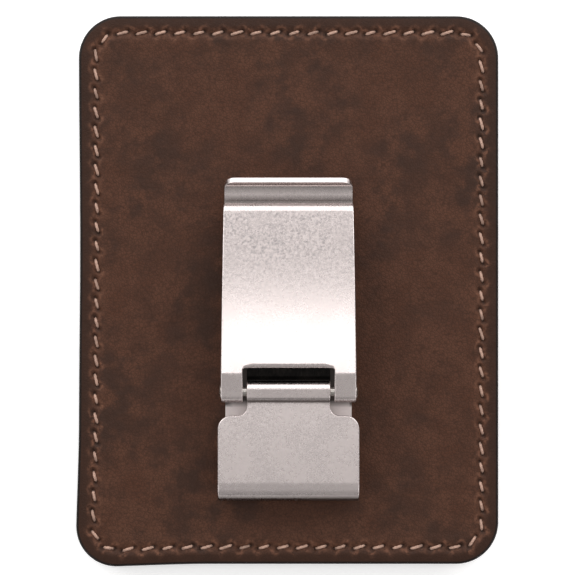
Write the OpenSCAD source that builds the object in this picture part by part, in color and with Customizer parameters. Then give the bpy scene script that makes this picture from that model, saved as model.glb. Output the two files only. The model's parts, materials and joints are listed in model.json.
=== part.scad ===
// Leather card case with a sprung flip clip for folded banknotes.
// Frame: the case lies on its card-pocket side at z = 0, the clip is on top (+Z),
// X runs across the notes and +Y runs from the hinge end of the clip towards its nose.
// The origin is under the middle of the case. Millimetres and degrees throughout.

/* [Case] */
// Width of the case, across the clipped notes
case_w = 70; // [66:1:90]
// Length of the case, along the clip
case_l = 91.4; // [88:0.2:120]
// Radius of the case's four corners
corner_r = 7; // [4:0.5:10]
// Thickness of the front leather panel
front_t = 1.3; // [1:0.1:2.5]
// Thickness of the stiffening board between the leathers
board_t = 0.9; // [0.9:0.1:2]
// Thickness of the back leather panel
back_t = 0.9; // [0.7:0.1:1.6]
// Thickness of the leather of one card pocket
pocket_t = 0.9; // [0.7:0.1:1.4]

/* [Card pockets] */
// Distance from the case's long edge to the mouth of the first pocket
first_mouth = 13; // [10:1:18]
// Step from one pocket's mouth to the next
mouth_step = 10; // [8:1:14]
// Height of the cards that stand in the pockets
card_h = 54; // [50:1:56]
// How far a card in the first pocket stands out of its mouth
card_stand = 10; // [6:1:12]

/* [Stitching] */
// Distance from the case's edge to the stitch line
stitch_inset = 2.5; // [2:0.1:4]
// Distance from one stitch to the next
stitch_pitch = 3.2; // [2.6:0.1:5]
// Thickness of the thread
thread_d = 0.55; // [0.4:0.05:0.7]
// Angle between a stitch and the stitch line
stitch_slant = 16; // [0:1:20]

/* [Bracket] */
// Width of the bracket
bracket_w = 23.2; // [20:0.2:30]
// Thickness of the bracket's sheet steel
bracket_t = 1; // [0.8:0.1:1.4]
// Height of the throat that the notes slide into
throat_h = 4.6; // [4.4:0.1:8]
// Distance from the hinge pin's axis to the outside of the bracket's bend
throat_l = 18.2; // [14:0.2:26]
// Width of the base plate that lies on the leather
base_w = 21; // [16:0.5:23]
// Distance from the case's end to the bracket's bend
bend_inset = 10.9; // [6:0.1:16]
// Distance from the pin's axis to the bracket's shoulders
shoulder_gap = 4; // [2.6:0.1:6]
// Width of the knuckle that the pin turns in
knuckle_w = 13.6; // [10:0.2:16]

/* [Arm] */
// Width of the arm at the hinge
arm_w = 22; // [19:0.2:28]
// Width of the arm at its nose
nose_w = 21.2; // [18:0.2:27]
// Thickness of the arm's sheet steel
arm_t = 1; // [0.8:0.1:1.3]
// Length of the arm's arched plate
arch_l = 25.7; // [20:0.1:36]
// Angle that the plate turns through along its arch
arch_turn = 10; // [4:1:16]
// Upward slope of the ears, from the hinge to the plate
ear_rise = 12; // [6:1:18]
// Downward slope of the plate where it starts
plate_fall = 4; // [0:1:8]
// Distance from the pin's axis to the edge of the window over the knuckle
window_reach = 4.2; // [3.4:0.1:6]
// Length of the flat part of the lifting lip
lip_l = 2.2; // [1:0.1:5]
// Upward slope of the lifting lip
lip_rise = 8; // [4:1:20]
// Angle that the lip's tip curls up through, for a fingernail
lip_curl = 55; // [30:1:70]

/* [Hinge and spring] */
// Diameter of the hinge pin
pin_d = 1.5; // [1.2:0.1:2]
// Gap between the knuckle and each ear, along the pin
knuckle_gap = 0.7; // [0.3:0.1:1.2]
// Angle that the arm opens to, where the spring holds it
open_angle = 95; // [80:1:110]
// Gap between the leaf spring and each ear
spring_gap = 0.7; // [0.3:0.1:2]
// Thickness of the leaf spring
spring_t = 0.4; // [0.3:0.05:0.5]
// Length of the leaf spring along the plate
spring_l = 17; // [12:0.5:20]

/* [Rivets] */
// Distance from the base plate's tip to the nearer of the two rivets that hold it
rivet_to_tip = 8; // [6:0.5:10]
// Distance between the two rivets
rivet_spacing = 20; // [14:1:24]
// Diameter of the rivets' shanks
rivet_d = 2.5; // [2:0.1:3]

/* [Hidden] */
$fn = 64;

leather_brown = "#513629";
pocket_brown = "#4a3126";
board_tan = "#8c7258";
thread_tan = "#b8a088";
satin_steel = "#c2b6b2";
spring_blue = "#26262b";

// Layers of the case, counted up from the table
middle_z = pocket_t;
upper_z = 2 * pocket_t;
back_z = 3 * pocket_t;
board_z = back_z + back_t;
front_z = board_z + board_t;
leather_z = front_z + front_t;

// Mouths of the card pockets, from the innermost pocket to the outermost
upper_mouth_x = case_w / 2 - first_mouth;
middle_mouth_x = upper_mouth_x - mouth_step;
lower_mouth_x = middle_mouth_x - mouth_step;

// Stitching: a straight-sided groove holds each slanted stitch
stitch_l = 0.78 * stitch_pitch;
groove_play = 0.06;
groove_w = thread_d + stitch_l * sin(stitch_slant) + 4 * groove_play;
front_groove = 0.35;
back_groove = thread_d + groove_play;
seam_x = case_w / 2 - stitch_inset;
seam_y = case_l / 2 - stitch_inset;
seam_r = max(corner_r - stitch_inset, 1);
seam_arc = PI * seam_r / 2;
seam_legs = [2 * (seam_x - seam_r), seam_arc, 2 * (seam_y - seam_r), seam_arc,
    2 * (seam_x - seam_r), seam_arc, 2 * (seam_y - seam_r), seam_arc];
seam_length = 4 * (seam_x + seam_y - 2 * seam_r) + 4 * seam_arc;
seam_stitches = round(seam_length / stitch_pitch);
// Rows of stitches that stop the cards in the upper and middle pockets
card_stop_play = 1;
upper_stop_x = upper_mouth_x + card_stand - card_h - card_stop_play;
lower_stop_x = -case_w / 2 + 2 * stitch_inset + groove_w;
middle_stop_x = (upper_stop_x + lower_stop_x) / 2;

// Hinge: the pin turns in the knuckle and is held by the arm's ears
pin_play = 0.05;
pin_r = pin_d / 2;
knuckle_bore_r = pin_r + pin_play;
knuckle_r = knuckle_bore_r + bracket_t;
knuckle_curl = 285;
pin_head_r = pin_r + 0.35;
pin_head_h = 0.35;
bend_r = throat_h / 2;
bend_y = -case_l / 2 + bend_inset + bend_r + bracket_t;
pin_y = bend_y - bend_r - bracket_t + throat_l;
base_top_z = leather_z + bracket_t;
pin_z = base_top_z + throat_h + knuckle_r;
shoulder_r = 2.5;
shoulder_fillet = 1.6;
base_corner_r = 2.5;

// Flats on the knuckle that the spring's tail lies on when the arm is closed and when it is open
flat_depth = 0.15;
flat_r = knuckle_r - flat_depth;
spring_play = 0.02;

// Bent sheet: each flat runs a hair into the bends beside it and is a hair thinner than they are,
// so that the two join solidly and no face of one lies on a face of the other
bend_overlap = 0.03;
flat_inset = 0.01;
short_flat = 0.4;

// The arm's sheet, as steps of [straight run, inside radius, turn to the left in degrees]
ear_curl = 258;
crease_r = 1;
arch_r = arch_l / (arch_turn * PI / 180);
nose_r = 0.8;
nose_fall = 90;
foot_r = 0.4;
lip_curl_r = 0.8;
lip_tip_l = 0.5;
ear_run = 3.1;
foot_play = 0.1;
foot_height = throat_h + knuckle_r - foot_play;
crease_steps = [[0, pin_r, -ear_curl], [ear_run, crease_r, -(ear_rise + plate_fall)]];
plate_steps = concat(crease_steps, [[short_flat, arch_r, -arch_turn],
    [short_flat, nose_r, -(nose_fall - plate_fall - arch_turn)]]);
// Start of the arm's sheet beside the pin, as [y, z, heading] from the pin's axis
curl_start_angle = ear_rise + 90 + ear_curl;
arm_start = [pin_r * cos(curl_start_angle), pin_r * sin(curl_start_angle), curl_start_angle - 90];
plate_start = ahead(walk(arm_start, crease_steps, arm_t), short_flat);
nose_end = walk(arm_start, plate_steps, arm_t);
drop_l = (nose_end[1] + cos(nose_fall) * (foot_r + arm_t) + foot_height - foot_r - arm_t)
    / sin(nose_fall);
arm_steps = concat(plate_steps, [[drop_l, foot_r, nose_fall + lip_rise],
    [lip_l, lip_curl_r, lip_curl], [lip_tip_l, 0, 0]]);
arm_end = walk(arm_start, arm_steps, arm_t);
foot_reach = nose_end[0] + drop_l * cos(nose_fall) + foot_r + arm_t;
lip_corner_r = 1.5;
arm_tip_y = ceil(20 * (pin_y + arm_end[0])) / 20;
base_tip_past_foot = 3;
base_tip_y = pin_y + foot_reach + base_tip_past_foot;
window_w = knuckle_w + 2 * knuckle_gap;

// The leaf spring: its tail lies on the knuckle's flat, then it bends over and follows the plate
spring_w = window_w - 2 * spring_gap;
spring_bend_r = 0.5;
tail_below = 1.1;
tail_y = flat_r + spring_play;
tail_corner_z = plate_start[1] + (plate_start[0] - tail_y) * tan(plate_fall);
tail_turn = 90 + plate_fall;
tail_tangent = (spring_bend_r + spring_t) * tan(tail_turn / 2);
spring_steps = [[tail_corner_z - tail_tangent + tail_below, spring_bend_r, -tail_turn],
    [(plate_start[0] - tail_y) / cos(plate_fall) - tail_tangent, arch_r - spring_t,
        -arch_turn * spring_l / arch_l]];

// Studs welded under the plate, whose peened heads hold the spring
stud_r = 0.8;
stud_head_r = 1.4;
stud_head_h = 0.45;
stud_play = 0.03;
stud_x = 3.5;
stud_s = spring_l - 3;

// Rivets through the base plate, the front leather and a washer inside the case
rivet_r = rivet_d / 2;
rivet_play = 0.02;
rivet_head_r = rivet_r + 0.95;
rivet_cone_h = 0.7 * bracket_t;
rivet_tail_r = rivet_r + 0.65;
rivet_tail_h = 0.35;
washer_t = 0.4;
washer_r = rivet_r + 1.75;
washer_window_r = washer_r + 0.6;
rivet_ys = [base_tip_y - rivet_to_tip - rivet_spacing, base_tip_y - rivet_to_tip];

// ---- Places along bent sheet and along the seam ----

function ahead(pose, run) = [pose[0] + run * cos(pose[2]), pose[1] + run * sin(pose[2]), pose[2]];

// Where a bend leaves the face that the steps follow: the right-hand face of the sheet
function after_bend(pose, radius, turn, thick) =
    let (r = turn < 0 ? -radius : radius + thick,
         cx = pose[0] - r * sin(pose[2]),
         cy = pose[1] + r * cos(pose[2]),
         heading = pose[2] + turn)
    [cx + r * sin(heading), cy - r * cos(heading), heading];

function walk(pose, steps, thick, i = 0) =
    i == len(steps) ? pose
    : walk(after_bend(ahead(pose, steps[i][0]), steps[i][1], steps[i][2], thick), steps, thick, i + 1);

// Place on the seam at arc length s, as [x, y, heading]; the legs alternate sides and corners
function seam_place(s, leg = 0) =
    s > seam_legs[leg] && leg < 7 ? seam_place(s - seam_legs[leg], leg + 1)
    : let (side = floor(leg / 2),
           half = side % 2 == 0 ? [seam_x, seam_y] : [seam_y, seam_x],
           a = leg % 2 == 0 ? 0 : 90 * s / seam_arc,
           u = leg % 2 == 0 ? s - half[0] + seam_r : half[0] - seam_r + seam_r * sin(a),
           v = leg % 2 == 0 ? -half[1] : -half[1] + seam_r - seam_r * cos(a),
           turn = 90 * side)
    [u * cos(turn) - v * sin(turn), u * sin(turn) + v * cos(turn), turn + a];

// Outer face of the back of the case at x, which steps up at each pocket's mouth
function back_face(x) = x < lower_mouth_x ? 0 : x < middle_mouth_x ? middle_z
    : x < upper_mouth_x ? upper_z : back_z;

// ---- Shared shapes ----

module rounded_slab(w, l, r, t) {
    linear_extrude(t) {
        square([w - 2 * r, l], center = true);
        square([w, l - 2 * r], center = true);
        for (x = [-1, 1], y = [-1, 1])
            translate([x * (w / 2 - r), y * (l / 2 - r)])
                circle(r);
    }
}

module case_layer(z, t) {
    translate([0, 0, z])
        rounded_slab(case_w, case_l, corner_r, t);
}

module seam_groove(z, depth) {
    translate([0, 0, z])
        difference() {
            rounded_slab(2 * seam_x + groove_w, 2 * seam_y + groove_w, seam_r + groove_w / 2, depth);
            translate([0, 0, -1])
                rounded_slab(2 * seam_x - groove_w, 2 * seam_y - groove_w,
                    seam_r - groove_w / 2 + 0.01, depth + 2);
        }
}

// Everything with x between two values
module x_band(from, to) {
    translate([from, -case_l, -1])
        cube([to - from, 2 * case_l, 100]);
}

module stitch(x, y, z, heading) {
    translate([x, y, z])
        rotate([0, 90, heading + stitch_slant])
            cylinder(h = stitch_l - thread_d, r = thread_d / 2, center = true, $fn = 16);
}

// Bent sheet in the local XY plane, extruded along Z; the steps are those of walk()
module bent_strip(steps, thick, wide, i = 0) {
    if (i < len(steps)) {
        run = steps[i][0];
        radius = steps[i][1];
        turn = steps[i][2];
        lap_before = i > 0 ? bend_overlap : 0;
        lap_after = turn != 0 ? bend_overlap : 0;
        if (run > 0)
            translate([-lap_before, flat_inset * thick, 0])
                cube([lap_before + run + lap_after, (1 - 2 * flat_inset) * thick, wide]);
        if (turn != 0)
            translate([run, turn < 0 ? -radius : radius + thick, 0])
                rotate(turn < 0 ? 90 + turn : -90)
                    rotate_extrude(angle = abs(turn), $fn = 96)
                        translate([radius, 0])
                            square([thick, wide]);
        next = after_bend([run, 0, 0], radius, turn, thick);
        translate([next[0], next[1], 0])
            rotate(next[2])
                bent_strip(steps, thick, wide, i + 1);
    }
}

// Turns a shape drawn in the local XY plane to stand in the YZ plane, centred on X = 0, at the pin
module at_pin(wide) {
    translate([-wide / 2, pin_y, pin_z])
        rotate([90, 0, 90])
            children();
}

// ---- Leather case ----

module front_panel() {
    color(leather_brown)
        difference() {
            case_layer(front_z, front_t);
            seam_groove(leather_z - front_groove, front_groove + 1);
            for (y = rivet_ys)
                translate([0, y, front_z - 1])
                    cylinder(h = front_t + 2, r = rivet_r + rivet_play);
        }
}

module stiffener_board() {
    color(board_tan)
        difference() {
            case_layer(board_z, board_t);
            for (y = rivet_ys)
                translate([0, y, board_z - 1])
                    cylinder(h = board_t + 2, r = washer_window_r);
        }
}

module back_panel() {
    color(leather_brown)
        difference() {
            case_layer(back_z, back_t);
            intersection() {
                seam_groove(back_z - 1, back_groove + 1);
                x_band(upper_mouth_x, case_w);
            }
        }
}

// A pocket runs from its mouth to the far long edge; next_mouth is where the next one covers it
module card_pocket(z, mouth, next_mouth, stop_x) {
    color(pocket_brown)
        difference() {
            intersection() {
                case_layer(z, pocket_t);
                x_band(-case_w, mouth);
            }
            intersection() {
                seam_groove(z - 1, back_groove + 1);
                x_band(next_mouth, case_w);
            }
            translate([stop_x - groove_w / 2, -seam_y + stitch_inset, z - 1])
                cube([groove_w, 2 * (seam_y - stitch_inset), back_groove + 1]);
        }
}

module upper_card_pocket() {
    card_pocket(upper_z, upper_mouth_x, middle_mouth_x, upper_stop_x);
}

module middle_card_pocket() {
    card_pocket(middle_z, middle_mouth_x, lower_mouth_x, middle_stop_x);
}

module lower_card_pocket() {
    color(pocket_brown)
        difference() {
            intersection() {
                case_layer(0, pocket_t);
                x_band(-case_w, lower_mouth_x);
            }
            seam_groove(-1, back_groove + 1);
        }
}

module front_stitching() {
    color(thread_tan)
        for (i = [0 : seam_stitches - 1]) {
            p = seam_place((i + 0.5) * seam_length / seam_stitches);
            stitch(p[0], p[1], leather_z - front_groove + thread_d / 2, p[2]);
        }
}

module back_stitching() {
    mouths = [lower_mouth_x, middle_mouth_x, upper_mouth_x];
    color(thread_tan)
        for (i = [0 : seam_stitches - 1]) {
            p = seam_place((i + 0.5) * seam_length / seam_stitches);
            if (min([for (m = mouths) abs(p[0] - m)]) > stitch_l / 2)
                stitch(p[0], p[1], back_face(p[0]) + thread_d / 2, p[2]);
        }
}

// The straight row of stitches that stops the cards of one pocket
module stop_seam(stop_x, z) {
    row = 2 * (seam_y - stitch_inset) - stitch_pitch;
    count = floor(row / stitch_pitch);
    color(thread_tan)
        for (i = [0 : count])
            stitch(stop_x, (i - count / 2) * stitch_pitch, z + thread_d / 2, 90);
}

module upper_pocket_seam() {
    stop_seam(upper_stop_x, upper_z);
}

module middle_pocket_seam() {
    stop_seam(middle_stop_x, middle_z);
}

// ---- Clip ----

// The base plate under the notes, from the bend to its rounded tip
module base_plate() {
    tip_l = base_tip_y - bend_y;
    translate([0, bend_y, leather_z])
        linear_extrude(bracket_t) {
            translate([-base_w / 2, 0])
                square([base_w, tip_l - base_corner_r]);
            translate([-base_w / 2 + base_corner_r, 0])
                square([base_w - 2 * base_corner_r, tip_l]);
            for (side = [-1, 1])
                translate([side * (base_w / 2 - base_corner_r), tip_l - base_corner_r])
                    circle(base_corner_r);
        }
}

module bracket_bend() {
    translate([-bracket_w / 2, bend_y, leather_z + bracket_t + bend_r])
        rotate([90, 0, 90])
            rotate(90)
                rotate_extrude(angle = 180, $fn = 96)
                    translate([bend_r, 0])
                        square([bracket_t, bracket_w]);
}

// The plate over the notes: shoulders with rounded corners, then a neck to the knuckle
module bracket_top() {
    top_l = pin_y - shoulder_gap - bend_y;
    translate([0, bend_y, base_top_z + throat_h])
        linear_extrude(bracket_t) {
            translate([-bracket_w / 2, 0])
                square([bracket_w, top_l - shoulder_r]);
            translate([-bracket_w / 2 + shoulder_r, 0])
                square([bracket_w - 2 * shoulder_r, top_l]);
            for (side = [-1, 1])
                translate([side * (bracket_w / 2 - shoulder_r), top_l - shoulder_r])
                    circle(shoulder_r);
            translate([-knuckle_w / 2, 0])
                square([knuckle_w, pin_y - bend_y]);
            for (side = [-1, 1])
                translate([side * knuckle_w / 2, top_l])
                    difference() {
                        translate([side * shoulder_fillet / 2, shoulder_fillet / 2])
                            square(shoulder_fillet, center = true);
                        translate([side * shoulder_fillet, shoulder_fillet])
                            circle(shoulder_fillet);
                    }
        }
}

// The curl round the pin, with the two flats that the leaf spring lies on
module knuckle() {
    difference() {
        at_pin(knuckle_w)
            rotate(-90)
                rotate_extrude(angle = knuckle_curl, $fn = 96)
                    translate([knuckle_bore_r, 0])
                        square([bracket_t, knuckle_w]);
        for (angle = [0, open_angle])
            at_pin(knuckle_w + 2)
                rotate(angle)
                    translate([flat_r, -knuckle_r, 0])
                        cube([knuckle_r, 2 * knuckle_r, knuckle_w + 2]);
    }
}

module base_bracket() {
    color(satin_steel)
        difference() {
            union() {
                base_plate();
                bracket_bend();
                bracket_top();
                knuckle();
            }
            for (y = rivet_ys)
                translate([0, y, leather_z - 1])
                    rivet_body(1 + bracket_t, rivet_play);
        }
}

// A countersunk head on a shank whose foot is at z = 0; length is from the foot to the head's top
module rivet_body(length, grow) {
    cylinder(h = length, r = rivet_r + grow);
    translate([0, 0, length - rivet_cone_h])
        cylinder(h = rivet_cone_h, r1 = rivet_r + grow, r2 = rivet_head_r + grow);
}

module base_rivets() {
    color(satin_steel)
        for (y = rivet_ys) {
            translate([0, y, front_z - washer_t - rivet_tail_h])
                rivet_body(washer_t + rivet_tail_h + front_t + bracket_t, 0);
            translate([0, y, front_z - washer_t - rivet_tail_h])
                cylinder(h = rivet_tail_h, r = rivet_tail_r);
        }
}

module rivet_washers() {
    color(satin_steel)
        for (y = rivet_ys)
            translate([0, y, front_z - washer_t])
                difference() {
                    cylinder(h = washer_t, r = washer_r);
                    translate([0, 0, -1])
                        cylinder(h = washer_t + 2, r = rivet_r + rivet_play);
                }
}

// What is left outside a quarter circle of radius r at the corner of a square
module corner_waste(r) {
    difference() {
        square(2 * r);
        circle(r);
    }
}

// Plan of the arm: parallel ears, a plate that narrows to the nose, and a lip with round corners
module arm_plan() {
    ear_y = pin_y - 2 * knuckle_r;
    taper_y = pin_y + window_reach;
    corner_y = arm_tip_y - lip_corner_r;
    difference() {
        polygon([[-arm_w / 2, ear_y], [arm_w / 2, ear_y], [arm_w / 2, taper_y], [nose_w / 2, corner_y],
            [nose_w / 2, arm_tip_y], [-nose_w / 2, arm_tip_y], [-nose_w / 2, corner_y],
            [-arm_w / 2, taper_y]]);
        for (side = [0, 1])
            mirror([side, 0])
                translate([nose_w / 2 - lip_corner_r, corner_y])
                    corner_waste(lip_corner_r);
    }
}

module clip_arm() {
    color(satin_steel)
        difference() {
            intersection() {
                at_pin(arm_w)
                    translate([arm_start[0], arm_start[1], 0])
                        rotate(arm_start[2])
                            bent_strip(arm_steps, arm_t, arm_w);
                linear_extrude(pin_z + 20)
                    arm_plan();
            }
            translate([-window_w / 2, pin_y - 2 * knuckle_r, 0])
                cube([window_w, 2 * knuckle_r + window_reach, pin_z + 20]);
        }
}

module hinge_pin() {
    color(satin_steel)
        translate([0, pin_y, pin_z])
            rotate([0, 90, 0]) {
                cylinder(h = arm_w, r = pin_r, center = true);
                for (side = [-1, 1])
                    translate([0, 0, side * (arm_w + pin_head_h) / 2])
                        cylinder(h = pin_head_h, r = pin_head_r, center = true);
            }
}

// Puts its children on the plate's underside, s along the arch from its start, with Z along the normal
module under_plate(x, s) {
    p = after_bend(plate_start, arch_r, -arch_turn * s / arch_l, arm_t);
    translate([x, pin_y + p[0], pin_z + p[1]])
        rotate([p[2], 0, 0])
            children();
}

module leaf_spring() {
    color(spring_blue)
        difference() {
            at_pin(spring_w)
                translate([tail_y + spring_t, -tail_below, 0])
                    rotate(90)
                        bent_strip(spring_steps, spring_t, spring_w);
            for (side = [-1, 1])
                under_plate(side * stud_x, stud_s)
                    cylinder(h = 6 * spring_t, r = stud_r + stud_play, center = true);
        }
}

module spring_studs() {
    color(satin_steel)
        for (side = [-1, 1])
            under_plate(side * stud_x, stud_s) {
                translate([0, 0, -spring_t - stud_play])
                    cylinder(h = spring_t + stud_play, r = stud_r);
                translate([0, 0, -spring_t - stud_play - stud_head_h])
                    cylinder(h = stud_head_h, r = stud_head_r);
            }
}

front_panel();
stiffener_board();
back_panel();
upper_card_pocket();
middle_card_pocket();
lower_card_pocket();
front_stitching();
back_stitching();
upper_pocket_seam();
middle_pocket_seam();
base_bracket();
base_rivets();
rivet_washers();
clip_arm();
hinge_pin();
leaf_spring();
spring_studs();
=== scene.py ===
import json
import math
import random

import bpy
import numpy as np
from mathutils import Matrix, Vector
from mathutils.geometry import delaunay_2d_cdt


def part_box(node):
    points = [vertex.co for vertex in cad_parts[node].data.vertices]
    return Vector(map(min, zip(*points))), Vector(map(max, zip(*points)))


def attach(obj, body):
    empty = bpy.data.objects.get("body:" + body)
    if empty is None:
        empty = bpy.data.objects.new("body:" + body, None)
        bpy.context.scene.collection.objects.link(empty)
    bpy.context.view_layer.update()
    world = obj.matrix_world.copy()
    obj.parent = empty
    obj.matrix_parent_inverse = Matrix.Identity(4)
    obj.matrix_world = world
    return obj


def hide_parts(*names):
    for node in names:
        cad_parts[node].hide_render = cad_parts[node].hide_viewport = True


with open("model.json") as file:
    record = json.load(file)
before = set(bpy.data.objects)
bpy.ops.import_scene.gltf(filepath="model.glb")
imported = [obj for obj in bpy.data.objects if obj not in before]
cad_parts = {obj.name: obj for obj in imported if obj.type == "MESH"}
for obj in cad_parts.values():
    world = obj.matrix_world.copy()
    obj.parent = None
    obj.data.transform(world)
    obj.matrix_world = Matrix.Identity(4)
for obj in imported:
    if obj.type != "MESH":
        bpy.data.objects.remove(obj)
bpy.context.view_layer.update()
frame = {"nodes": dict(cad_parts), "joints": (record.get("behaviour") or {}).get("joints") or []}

# A leather card case with a sprung flip clip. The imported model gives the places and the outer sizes;
# this file makes the leather, thread and bent metal around it. Lengths are in metres throughout.

bl_info = {
    "name": "Sprung Flip Money Clip",
    "version": (1, 0, 0),
    "blender": (4, 5, 0),
    "location": "View3D > Sidebar > Money Clip",
    "description": "Builds a leather card case with a sprung flip money clip, piece by piece",
    "category": "Object",
}

MM = 0.001
CASE_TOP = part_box("front_panel")[1]
BRACKET_LOW, BRACKET_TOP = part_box("base_bracket")
ARM_LOW, ARM_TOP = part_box("clip_arm")
HINGE = Vector(frame["joints"][0]["pos_m"])
OPEN_ANGLE = math.radians(frame["joints"][0]["range_deg"][1])
HALF_W = CASE_TOP.x
HALF_L = CASE_TOP.y
LEATHER_Z = CASE_TOP.z
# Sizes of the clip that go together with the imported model; turns are in degrees.
BASE_HALF_W = 10.5 * MM
PIN_RADIUS = 0.75 * MM
KNUCKLE_BORE = 0.8 * MM
KNUCKLE_CURL = 285
ARCH_LENGTH = 25.7 * MM
ARCH_TURN = 10
SPRING_SHARE = 17 / 25.7  # how much of the arch the leaf spring follows
FLAT_R = 1.65 * MM  # from the pin's middle to the knuckle's flats
TAIL_R = 1.67 * MM  # from the pin's middle to the spring's tail
WINDOW_REACH = 3.85 * MM  # from the pin's middle to the window's far edge
RIVET_HOLE = 2.26 * MM  # radii of the holes in the sheets
STUD_HOLE = 0.84 * MM
# Parts of the bracket's and the arm's line, in the order in which the sheet runs.
BASE_PLATE, THROAT_BEND, TOP_PLATE = 0, 1, 2
EAR_CURL, ARCH, FOOT_BEND, LIP_BEND = 0, 4, 8, 10


# ---- Settings that a user would change ----

def length(name, description, default):
    return bpy.props.FloatProperty(name=name, description=description, default=default,
                                   min=0.0, precision=5, subtype="DISTANCE", unit="LENGTH")


def colour(name, description, default):
    return bpy.props.FloatVectorProperty(name=name, description=description, default=default,
                                         size=3, min=0.0, max=1.0, subtype="COLOR")


def share(name, description, default, most=1.0):
    return bpy.props.FloatProperty(name=name, description=description, default=default,
                                   min=0.0, max=most, subtype="FACTOR")


class CaseSettings(bpy.types.PropertyGroup):
    corner_radius: length("Corner radius", "Radius of the case's corners", 7 * MM)
    edge_round: length("Edge round", "Rounding of the front leather's burnished edge", 0.5 * MM)
    seam_inset: length("Seam inset", "Distance from the edge to the stitch line", 2.85 * MM)
    seam_depth: length("Seam depth", "How deep the stitch line is pressed in", 0.26 * MM)
    settle: length("Settle", "How far the case's softest corner has spread in use", 0.55 * MM)
    mouth_lift: length("Mouth lift", "How far a pocket's mouth stands away", 0.3 * MM)
    front_colour: colour("Front leather", "Colour of the oiled front leather", (0.056, 0.0235, 0.0135))
    pocket_colour: colour("Pocket leather", "Colour of the pockets' leather", (0.045, 0.019, 0.011))
    edge_colour: colour("Edge paint", "Colour of the sealed edges", (0.0085, 0.0045, 0.0034))


class ThreadSettings(bpy.types.PropertyGroup):
    thickness: length("Thickness", "Diameter of the waxed thread", 0.5 * MM)
    pitch: length("Pitch", "Distance from one stitch to the next", 3.2 * MM)
    stitch: length("Stitch", "Length of one stitch on the surface", 2.5 * MM)
    slant: bpy.props.FloatProperty(name="Slant", description="Angle between a stitch and the seam",
                                   default=math.radians(16), subtype="ANGLE", unit="ROTATION")
    plies: bpy.props.IntProperty(name="Plies", description="Strands twisted into the thread",
                                 default=3, min=2, max=4)
    thread_colour: colour("Thread", "Colour of the waxed thread", (0.54, 0.34, 0.26))


class ClipSettings(bpy.types.PropertyGroup):
    sheet: length("Sheet", "Thickness of the plated sheet steel", 1.0 * MM)
    spring_sheet: length("Spring sheet", "Thickness of the leaf spring", 0.4 * MM)
    edge: length("Edge round", "Rounding of the sheet's tumbled edges", 0.14 * MM)
    nose_w: length("Nose width", "Width of the arm at its nose", 21.2 * MM)
    knuckle_w: length("Knuckle width", "Width of the bracket's knuckle", 13.6 * MM)
    knuckle_gap: length("Knuckle gap", "Gap between the knuckle and each ear", 0.7 * MM)
    plate_colour: colour("Plating", "Colour of the satin nickel plating", (0.80, 0.715, 0.70))
    roughness: share("Roughness", "Roughness of the plating", 0.27)


class StudioSettings(bpy.types.PropertyGroup):
    camera_height: length("Camera height", "Height of the camera above the leather", 400 * MM)
    view_width: length("View width", "What the camera sees at the leather", 95.8 * MM)
    soft_light: bpy.props.FloatProperty(name="Soft light", description="Power of the overhead softbox",
                                        default=0.4, min=0.0, unit="POWER")
    key_light: bpy.props.FloatProperty(name="Key light", description="Power of each far corner light",
                                       default=2.8, min=0.0, unit="POWER")
    fill_light: bpy.props.FloatProperty(name="Fill light", description="Power of each near corner light",
                                        default=0.9, min=0.0, unit="POWER")
    far_light: bpy.props.FloatProperty(name="Far light", description="Power of the panel past the nose",
                                       default=2.2, min=0.0, unit="POWER")
    floor_colour: colour("Floor", "Colour of the table", (0.94, 0.94, 0.94))


# ---- Shapes: outlines, bend lines and skins ----

def smooth_step(low, high, value):
    t = np.clip((value - low) / (high - low), 0.0, 1.0)
    return t * t * (3 - 2 * t)


def hump(distance, width):
    """A smooth hump: 1 at no distance, and almost gone at twice the width."""
    return np.exp(-(distance / width) ** 2)


def rounded_outline(corners, spacing):
    """A closed anticlockwise ring from corners (across, along, radius), with no gap above spacing."""
    ring = []
    count = len(corners)
    for i, (x, y, radius) in enumerate(corners):
        here = np.array([x, y])
        back = np.array(corners[i - 1][:2]) - here
        ahead = np.array(corners[(i + 1) % count][:2]) - here
        back /= np.hypot(*back)
        ahead /= np.hypot(*ahead)
        turn = math.pi - math.acos(np.clip(back @ ahead, -1, 1))
        if radius == 0 or turn < 1e-6:
            ring.append(here)
            continue
        middle = (back + ahead) / np.hypot(*(back + ahead))
        centre = here + middle * radius / math.cos(turn / 2)
        first = here + back * radius * math.tan(turn / 2) - centre
        convex = back[0] * ahead[1] - back[1] * ahead[0] < 0
        steps = max(3, math.ceil(turn / math.radians(14)), math.ceil(turn * radius / spacing))
        for k in range(steps + 1):
            a = (turn if convex else -turn) * k / steps
            ring.append(centre + [first[0] * math.cos(a) - first[1] * math.sin(a),
                                  first[0] * math.sin(a) + first[1] * math.cos(a)])
    return split_long(np.array(ring), spacing)


def split_long(ring, spacing, rows=()):
    """The ring with points added where it crosses the rows, and wherever a side is longer than spacing."""
    closest = 0.12 * MM
    out = []
    for start, end in zip(ring, np.roll(ring, -1, axis=0)):
        step = end - start
        cuts = {0.0}
        for row in rows:
            reach = closest * np.hypot(*step) / max(abs(step[1]), 1e-9)
            if min(start[1], end[1]) + reach < row < max(start[1], end[1]) - reach:
                cuts.add((row - start[1]) / step[1])
        cuts = sorted(cuts) + [1.0]
        for a, b in zip(cuts, cuts[1:]):
            pieces = max(1, math.ceil((b - a) * np.hypot(*step) / spacing - 1e-6))
            out += [start + step * (a + (b - a) * k / pieces) for k in range(pieces)]
    return np.array(out)


def outward(ring):
    """Unit direction out of the material at each point of a ring, and how far a mitre reaches there."""
    ahead = np.roll(ring, -1, axis=0) - ring
    ahead /= np.hypot(ahead[:, 0], ahead[:, 1])[:, None]
    side = np.stack([ahead[:, 1], -ahead[:, 0]], axis=1)
    both = side + np.roll(side, 1, axis=0)
    size = np.hypot(both[:, 0], both[:, 1])
    return both / size[:, None], 2 / size


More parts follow.
